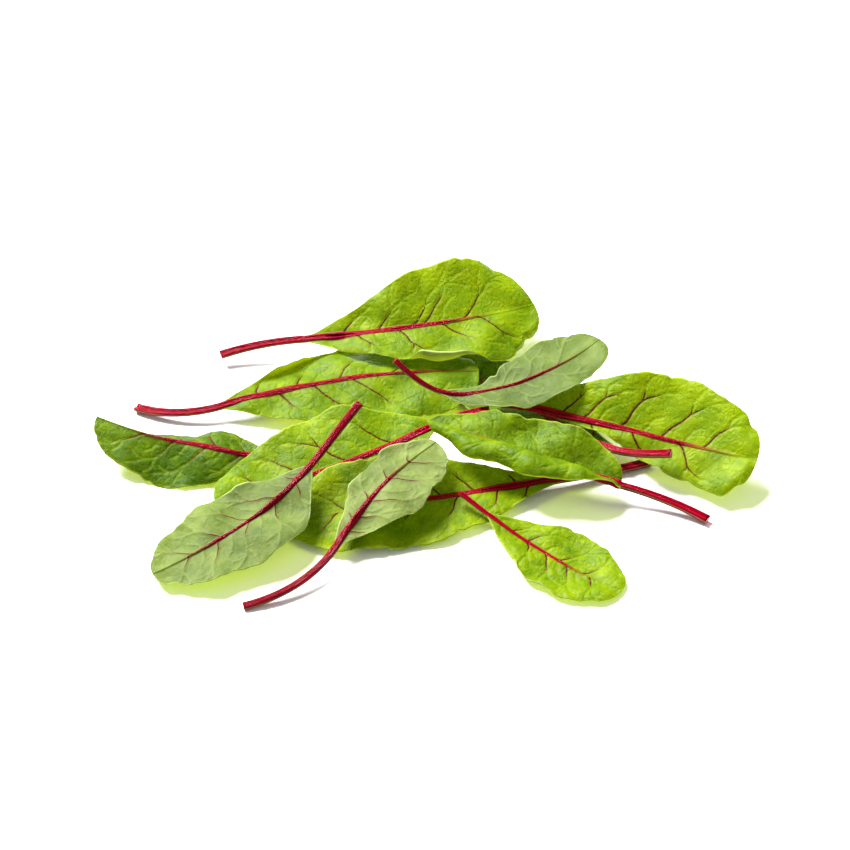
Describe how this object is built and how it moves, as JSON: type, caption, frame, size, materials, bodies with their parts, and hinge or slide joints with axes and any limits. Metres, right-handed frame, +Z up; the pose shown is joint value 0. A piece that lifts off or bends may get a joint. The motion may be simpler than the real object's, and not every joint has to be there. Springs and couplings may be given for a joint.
{
  "type": "swiss chard bunch",
  "caption": "Loose bunch of cut young red-stemmed swiss chard leaves, lying in a low heap.",
  "frame": {"origin": "centre of the underside of the whole heap's bounding box, on the surface that it lies on", "axes": "+Z up, +X along the heap's longest side, towards the broad leaf and the folded leaf's cut end, +Y towards the tall leaf at the back"},
  "size_m": [0.2772, 0.1976, 0.0336],
  "materials": {
    "leaf_back_tall": "satin leaf, deep green above, on a magenta stalk and midrib",
    "leaf_center_buried": "satin leaf, deep green above, on a magenta stalk and midrib",
    "leaf_far_left_curled": "satin leaf, deep green above, on a magenta stalk and midrib",
    "leaf_folded": "satin leaf, deep green above, on a magenta stalk and midrib",
    "leaf_front_long": "satin leaf, deep green above, on a magenta stalk and midrib",
    "leaf_front_small": "satin leaf, deep green above, on a magenta stalk and midrib",
    "leaf_front_turned": "dull pale green underside of a leaf, on a magenta stalk and midrib",
    "leaf_left_broad": "satin leaf, deep green above, on a magenta stalk and midrib",
    "leaf_left_long": "satin leaf, deep green above, on a magenta stalk and midrib",
    "leaf_left_turned": "dull pale green underside of a leaf, on a magenta stalk and midrib",
    "leaf_right_broad": "satin leaf, deep green above, on a magenta stalk and midrib",
    "leaf_top_turned": "dull pale green underside of a leaf, on a magenta stalk and midrib"
  },
  "bodies": {
    "root": {"leaf_back_tall": "leaf_back_tall", "leaf_center_buried": "leaf_center_buried", "leaf_far_left_curled": "leaf_far_left_curled", "leaf_folded": "leaf_folded", "leaf_front_long": "leaf_front_long", "leaf_front_small": "leaf_front_small", "leaf_front_turned": "leaf_front_turned", "leaf_left_broad": "leaf_left_broad", "leaf_left_long": "leaf_left_long", "leaf_left_turned": "leaf_left_turned", "leaf_right_broad": "leaf_right_broad", "leaf_top_turned": "leaf_top_turned"}
  },
  "joints": []
}
